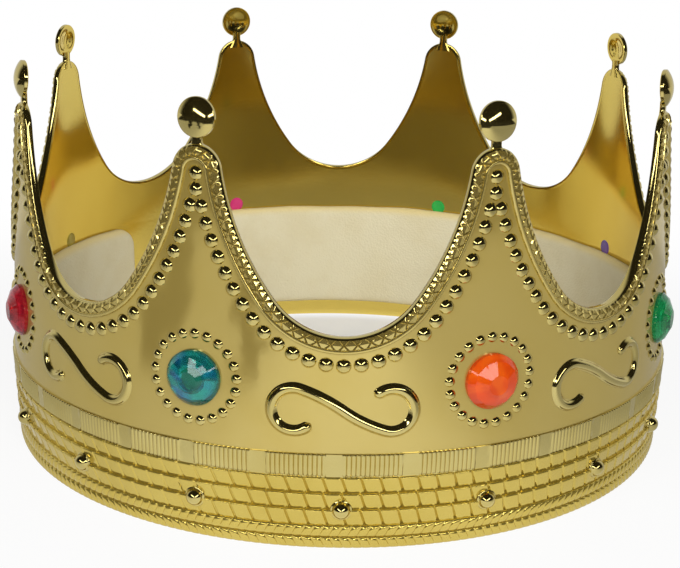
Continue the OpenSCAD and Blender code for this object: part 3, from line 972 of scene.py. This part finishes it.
glow = w.add("ShaderNodeEmission", None, {"Color": (1, 1, 1, 1), "Strength": shown})
both = w.add("ShaderNodeMixShader", None, {0: shadow_share, 1: glow, 2: matt})
surface = w.add("ShaderNodeMixShader", None, {0: seen, 1: matt, 2: both})
w.add("ShaderNodeOutputMaterial", None, {"Surface": surface})
mesh.materials.append(paper)
print("light laid on the sheet")

# %% [markdown]
# The room itself is the world: bright behind the crown, nearly black elsewhere for mirrors, and a soft grey
# for matt things, so that the foam does not go dark. Walls and cards would need more lamps to say the same.

# %% Dark room
DARK, BACKDROP, FILL_BACK, FILL_FRONT = 0.006, 0.7, 0.06, 0.32
BACKDROP_STEP, FILL_STEP = (0.05, 0.45), (0.4, -0.4)

world = bpy.data.worlds.new("studio_room")
bpy.context.scene.world = world
world.use_nodes = True
world.node_tree.nodes.clear()
w = Wire(world.node_tree)
direction = w.add("ShaderNodeTexCoord", output="Generated")
backwards = w.add("ShaderNodeSeparateXYZ", None, {0: direction}, "Y")
ray = w.add("ShaderNodeLightPath", output="Is Camera Ray")
backdrop = smooth(w, backwards, *BACKDROP_STEP)
room = DARK + BACKDROP * backdrop
mirrored = w.math("MAXIMUM", ray.out("Is Glossy Ray"), ray.out("Is Transmission Ray"))
soft_fill = FILL_BACK + FILL_FRONT * smooth(w, backwards, *FILL_STEP)
strength = ray + (1 - ray) * (mirrored * room + (1 - mirrored) * soft_fill)
light = w.add("ShaderNodeBackground", None, {"Color": (1, 1, 1, 1), "Strength": strength})
w.add("ShaderNodeOutputWorld", None, {"Surface": light})
print("room set")

# %% [markdown]
# ## Lamps
# Two broad lamps beside the camera light the matt things, and mirrors do not see them. Two long strips,
# leaning like a V, give the white glints in the dark upper half of every ball and bead. They hang where
# those glints point to: halfway between the camera and a lamp lies the normal of the bright spot. Each lamp
# is told by its bearing from the front and its height.

# %% Lamps
LAMP_AWAY, LAMP_AIM = 1.2, 0.07


def lamp(name, bearing, rise, roll, long, short, power, mirrored):
    """An area lamp that aims at the crown. Angles are in degrees, and the two sides in metres."""
    data = bpy.data.lights.new(name, "AREA")
    data.shape, data.size, data.size_y, data.energy = "RECTANGLE", long, short, power
    obj = bpy.data.objects.new(name, data)
    turn = Matrix.Rotation(math.radians(bearing), 4, "Z") @ Matrix.Rotation(math.radians(90 - rise), 4, "X")
    away = Matrix.Translation((0, 0, LAMP_AWAY)) @ Matrix.Rotation(math.radians(roll), 4, "Z")
    obj.matrix_world = Matrix.Translation((0, 0, LAMP_AIM)) @ turn @ away
    obj.visible_glossy = obj.visible_transmission = mirrored
    bpy.context.scene.collection.objects.link(obj)


lamp("key_lamp", bearing=8, rise=32, roll=0, long=0.5, short=0.5, power=9.0, mirrored=False)
lamp("fill_lamp", bearing=-40, rise=30, roll=0, long=0.5, short=0.5, power=2.0, mirrored=False)
lamp("right_strip", bearing=26, rise=17, roll=26, long=1.0, short=0.13, power=2.6, mirrored=True)
lamp("left_strip", bearing=-26, rise=17, roll=-26, long=1.0, short=0.13, power=2.6, mirrored=True)
print("four lamps hung")

# %% [markdown]
# ## Camera
# The camera's place and lens were found by fitting the sizes above to the points of the crown in the
# photograph. It could be placed by eye, but then no two edges would meet at once.

# %% Camera
LENS, SENSOR, CAMERA_AT = 81.9, 36.0, (-6.3, -446.0, 176.4)
CAMERA_TURNS = [(-0.83, "Z"), (72.99, "X"), (0.98, "Z")]

camera_data = bpy.data.cameras.new("camera")
camera_data.lens, camera_data.sensor_width = LENS, SENSOR
camera = bpy.data.objects.new("camera", camera_data)
camera_matrix = Matrix.Translation([MM * c for c in CAMERA_AT])
for degrees, axis in CAMERA_TURNS:
    camera_matrix = camera_matrix @ Matrix.Rotation(math.radians(degrees), 4, axis)
camera.matrix_world = camera_matrix
bpy.context.scene.collection.objects.link(camera)
bpy.context.scene.camera = camera
bpy.context.scene.view_settings.view_transform = "Standard"
print(f"camera set, {LENS} mm lens")
